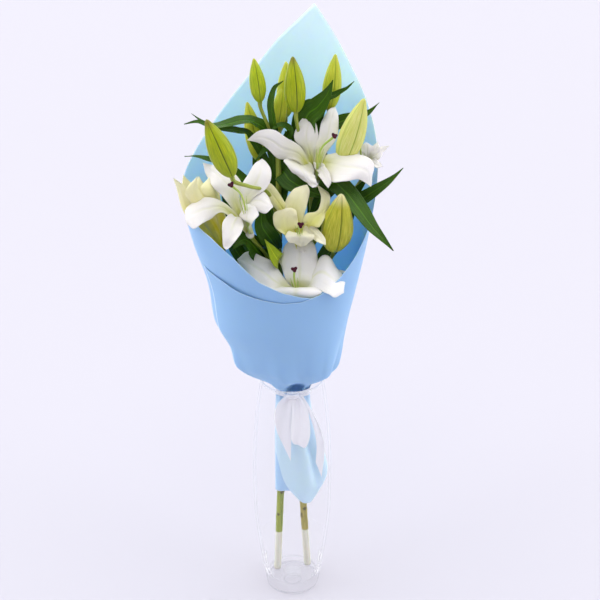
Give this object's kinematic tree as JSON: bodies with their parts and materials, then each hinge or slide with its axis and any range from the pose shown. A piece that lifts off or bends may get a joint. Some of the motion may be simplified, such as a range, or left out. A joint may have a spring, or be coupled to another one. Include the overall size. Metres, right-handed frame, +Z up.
{
  "type": "lilies in a vase",
  "caption": "White lilies, buds and leaves rolled in a cone of blue paper, tied with a satin ribbon and standing in a barrel-shaped glass vase with a little water.",
  "frame": {"origin": "middle of the underside of the vase's foot, on the surface it stands on", "axes": "+Z up along the vase's axis, +X to the right and -Y towards the viewer who faces the open side of the paper"},
  "size_m": [0.2991, 0.2041, 0.8561],
  "materials": {
    "glass": "gloss",
    "water": "gloss",
    "paper": "matte",
    "satin": "satin",
    "leaf_green": "satin",
    "bud_green": "satin",
    "petal_white": "matte",
    "style_green": "satin",
    "stigma_maroon": "satin"
  },
  "bodies": {
    "root": {"vase": "glass", "water": "water", "paper_wrap": "paper", "ribbon": "satin", "leafy_stem_left": "leaf_green", "leafy_stem_right": "leaf_green", "bud_upper_left": "bud_green", "bud_upper_middle": "bud_green", "bud_upper_back": "bud_green", "bud_middle_pale": "bud_green", "bud_upper_right": "bud_green", "bud_left_shaded": "bud_green", "bud_left_front": "bud_green", "bud_right_tall": "bud_green", "bud_right_opening": "bud_green", "bloom_a": "petal_white", "bloom_b": "petal_white", "bloom_c": "petal_white", "bloom_d": "petal_white", "bloom_e": "petal_white", "bloom_f": "petal_white", "bloom_a_style": "style_green", "bloom_a_stigma": "stigma_maroon", "bloom_b_style": "style_green", "bloom_b_stigma": "stigma_maroon", "bloom_c_style": "style_green", "bloom_c_stigma": "stigma_maroon", "bloom_d_style": "style_green", "bloom_d_stigma": "stigma_maroon", "bloom_e_style": "style_green", "bloom_e_stigma": "stigma_maroon"}
  },
  "joints": []
}
